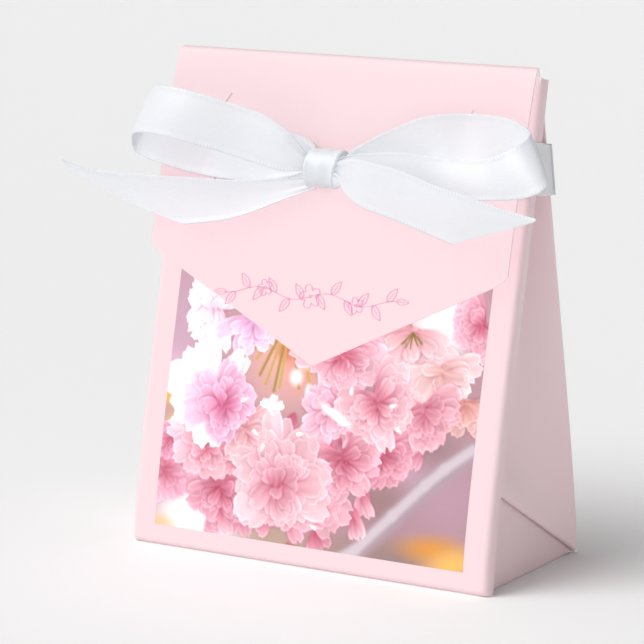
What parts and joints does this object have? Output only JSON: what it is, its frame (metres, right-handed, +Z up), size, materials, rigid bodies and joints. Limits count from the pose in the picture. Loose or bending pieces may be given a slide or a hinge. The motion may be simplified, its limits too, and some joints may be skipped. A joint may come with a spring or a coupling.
{
  "type": "tent favour box with ribbon bow",
  "caption": "Tent-shaped folded card favour box with gusseted sides, a pointed closing flap threaded with satin ribbon, and a tied bow on the front.",
  "frame": {"origin": "centre of the base, on the surface the box stands on", "axes": "+Z up, -Y out of the printed front panel, +X to the right seen from the front"},
  "size_m": [0.1397, 0.054, 0.1238],
  "materials": {
    "card": "matte",
    "print": "satin",
    "ribbon": "satin"
  },
  "bodies": {
    "carton": {"base_panel": "card", "back_panel": "card", "gusset_rear_left": "card", "gusset_rear_right": "card", "base_tab_left": "card", "base_tab_right": "card", "ribbon_back": "ribbon", "ribbon_side_left": "ribbon", "ribbon_side_right": "ribbon"},
    "front": {"front_panel": "print", "front_wing_left": "card", "front_wing_right": "card", "gusset_front_left": "card", "gusset_front_right": "card"},
    "flap": {"top_flap": "card", "ribbon_strand_left": "ribbon", "ribbon_strand_right": "ribbon", "bow_knot": "ribbon"},
    "loop_left": {"loop_left": "ribbon"},
    "loop_right": {"loop_right": "ribbon"},
    "tail_left": {"tail_left": "ribbon"},
    "tail_right": {"tail_right": "ribbon"}
  },
  "joints": [
    {"name": "flap_fold", "type": "hinge", "parent": "carton", "child": "flap", "pos_m": [0, -0.0012, 0.12265], "axis": [-1, 0, 0], "range_deg": [0, 150]},
    {"name": "front_fold", "type": "hinge", "parent": "carton", "child": "front", "pos_m": [0, -0.025, 0], "axis": [1, 0, 0], "range_deg": [0, 7.5]},
    {"name": "loop_left_lift", "type": "hinge", "parent": "flap", "child": "loop_left", "pos_m": [0, -0.0154, 0.0977], "axis": [0, 0.9686, -0.2487], "range_deg": [0, 12], "stiffness_Nm_per_rad": 0.001},
    {"name": "loop_right_lift", "type": "hinge", "parent": "flap", "child": "loop_right", "pos_m": [0, -0.0154, 0.0977], "axis": [0, -0.9686, 0.2487], "range_deg": [0, 12], "stiffness_Nm_per_rad": 0.001},
    {"name": "tail_left_swing", "type": "hinge", "parent": "flap", "child": "tail_left", "pos_m": [0, -0.0154, 0.0977], "axis": [0, 0.2487, 0.9686], "range_deg": [0, 20], "stiffness_Nm_per_rad": 0.001},
    {"name": "tail_right_swing", "type": "hinge", "parent": "flap", "child": "tail_right", "pos_m": [0, -0.0154, 0.0977], "axis": [0, -0.2487, -0.9686], "range_deg": [0, 20], "stiffness_Nm_per_rad": 0.001}
  ],
  "couplings": [
    {"joint": "front_fold", "follows": "flap_fold", "ratio": 0.05}
  ]
}
